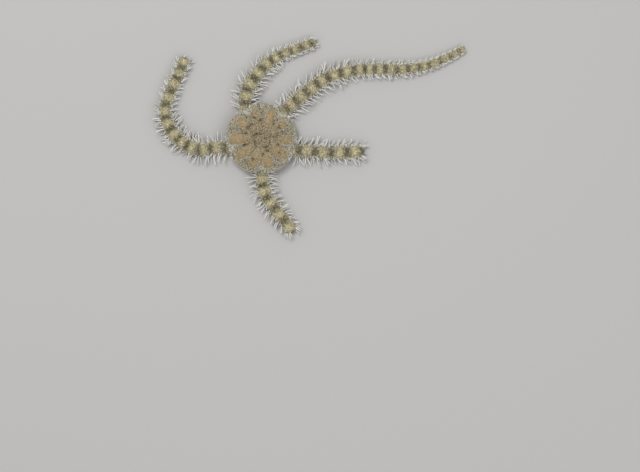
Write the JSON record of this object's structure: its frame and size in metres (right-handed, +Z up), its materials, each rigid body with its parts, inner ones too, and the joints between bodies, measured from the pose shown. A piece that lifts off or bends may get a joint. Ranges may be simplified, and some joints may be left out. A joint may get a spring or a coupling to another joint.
{
  "type": "brittle star",
  "caption": "Brittle star lying flat, life size: a lobed disc 20 mm across with five spiny banded arms that end bluntly.",
  "frame": {"origin": "on the floor, under the middle of the whole star's box", "axes": "+X along the longest arm's reach, to the right seen from above; +Y to the top seen from above; +Z up, away from the mouth"},
  "size_m": [0.0893, 0.0585, 0.0062],
  "materials": {
    "disc_skin": "granulated skin with smoother orange-beige radial shields, mottled with grey and dark dots",
    "arm_plates": "fine plates banded in light yellow and dark olive, with glassy pale spines",
    "jaw_plates": "smooth cream calcite"
  },
  "bodies": {
    "root": {"arm_bottom_1": "arm_plates", "arm_bottom_2": "arm_plates", "arm_bottom_root": "arm_plates", "arm_left_1": "arm_plates", "arm_left_2": "arm_plates", "arm_left_3": "arm_plates", "arm_left_4": "arm_plates", "arm_left_root": "arm_plates", "arm_right_1": "arm_plates", "arm_right_2": "arm_plates", "arm_right_root": "arm_plates", "arm_top_left_1": "arm_plates", "arm_top_left_2": "arm_plates", "arm_top_left_3": "arm_plates", "arm_top_left_root": "arm_plates", "arm_top_right_1": "arm_plates", "arm_top_right_2": "arm_plates", "arm_top_right_3": "arm_plates", "arm_top_right_4": "arm_plates", "arm_top_right_5": "arm_plates", "arm_top_right_root": "arm_plates", "disc": "disc_skin", "jaw_1": "jaw_plates", "jaw_2": "jaw_plates", "jaw_3": "jaw_plates", "jaw_4": "jaw_plates", "jaw_5": "jaw_plates"}
  },
  "joints": []
}
